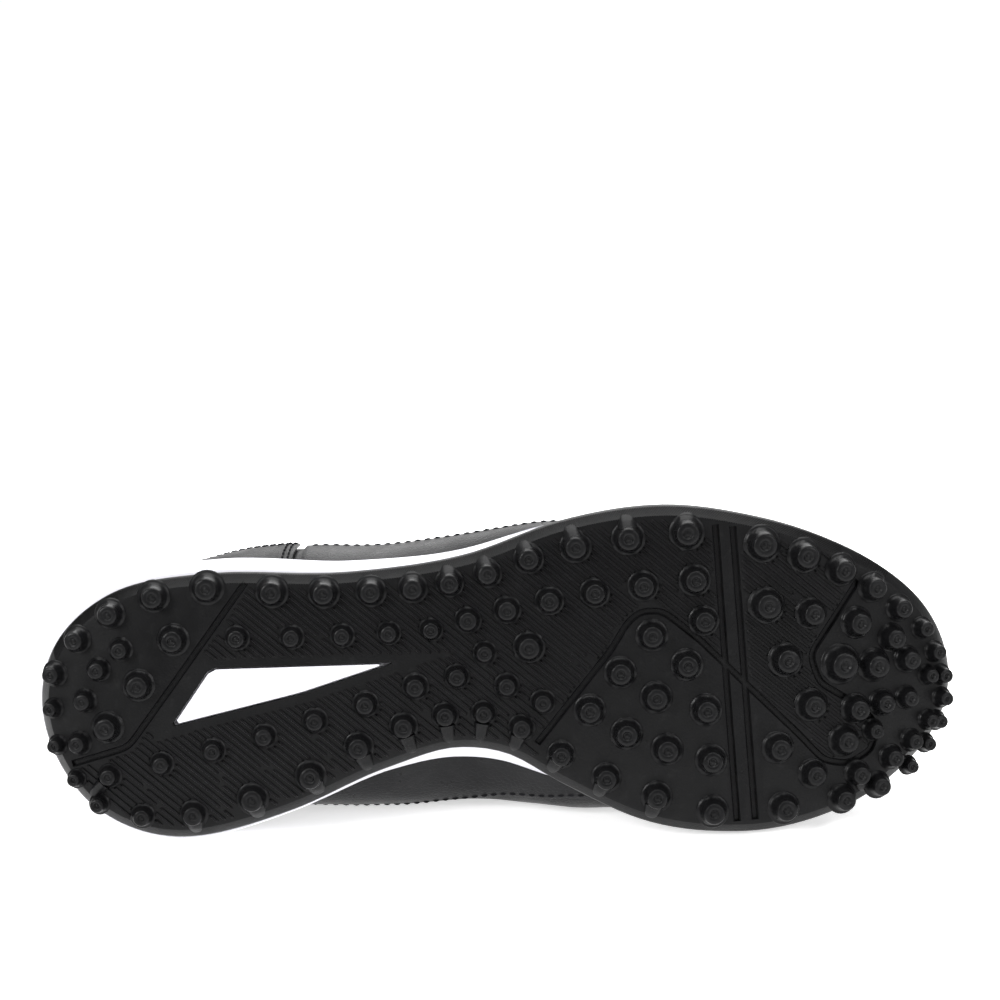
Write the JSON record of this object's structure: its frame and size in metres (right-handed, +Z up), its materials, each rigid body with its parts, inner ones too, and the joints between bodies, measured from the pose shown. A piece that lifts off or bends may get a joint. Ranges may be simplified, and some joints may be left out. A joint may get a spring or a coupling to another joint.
{
  "type": "turf shoe",
  "caption": "Right turf shoe with a studded rubber outsole, white foam midsole, black leather upper, tongue, laces and insole, lying on its inner side.",
  "frame": {"origin": "on the floor, under the centre of the lying shoe's bounding box", "axes": "+X runs along the shoe from heel to toe, -Y is the way the studded sole faces and +Y the collar's way, and +Z is up, out of the floor and towards the outer side of the foot"},
  "size_m": [0.2932, 0.123, 0.1038],
  "materials": {
    "outsole": "black moulded rubber, satin",
    "midsole": "white moulded foam, fine grain",
    "insole": "dark knitted cover",
    "upper": "black leather, fine grain",
    "heel_counter": "black leather, stitched",
    "eyestay": "black leather, stitched",
    "tongue": "black padded leather",
    "laces": "black flat woven lace"
  },
  "bodies": {
    "root": {"outsole": "outsole", "midsole": "midsole", "insole": "insole", "upper": "upper", "heel_counter": "heel_counter", "eyestay": "eyestay", "tongue": "tongue", "laces": "laces"}
  },
  "joints": []
}
